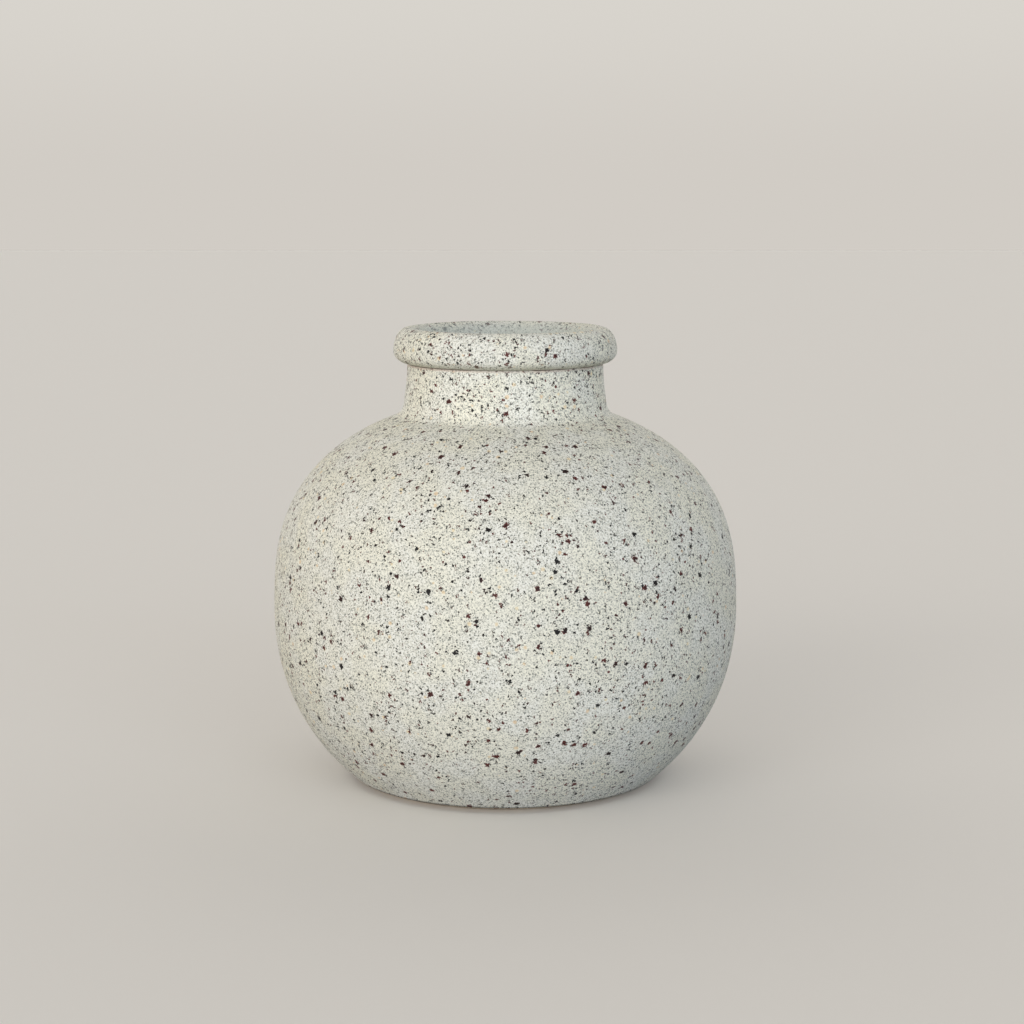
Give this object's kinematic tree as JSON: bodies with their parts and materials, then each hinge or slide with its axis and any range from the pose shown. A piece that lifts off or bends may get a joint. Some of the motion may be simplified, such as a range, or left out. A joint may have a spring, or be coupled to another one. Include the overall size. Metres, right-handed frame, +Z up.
{
  "type": "round bud vase",
  "caption": "Round-bellied speckled stoneware vase with a short neck, a rolled rim and a narrow turned foot, for a few short stems.",
  "frame": {"origin": "middle of the foot, on the surface that the vase stands on", "axes": "+Z up, along the axis that the vase is turned about"},
  "size_m": [0.108, 0.108, 0.105],
  "materials": {
    "bare_stoneware": "unglazed fired clay, rough and dry",
    "speckled_matt_glaze": "dry matt off-white with dense grey flecks and sparse dark red-brown and black grains",
    "liner_glaze": "satin blue-grey with few flecks"
  },
  "bodies": {
    "root": {"stoneware_body": "bare_stoneware", "speckled_glaze": "speckled_matt_glaze", "liner_glaze": "liner_glaze"}
  },
  "joints": []
}
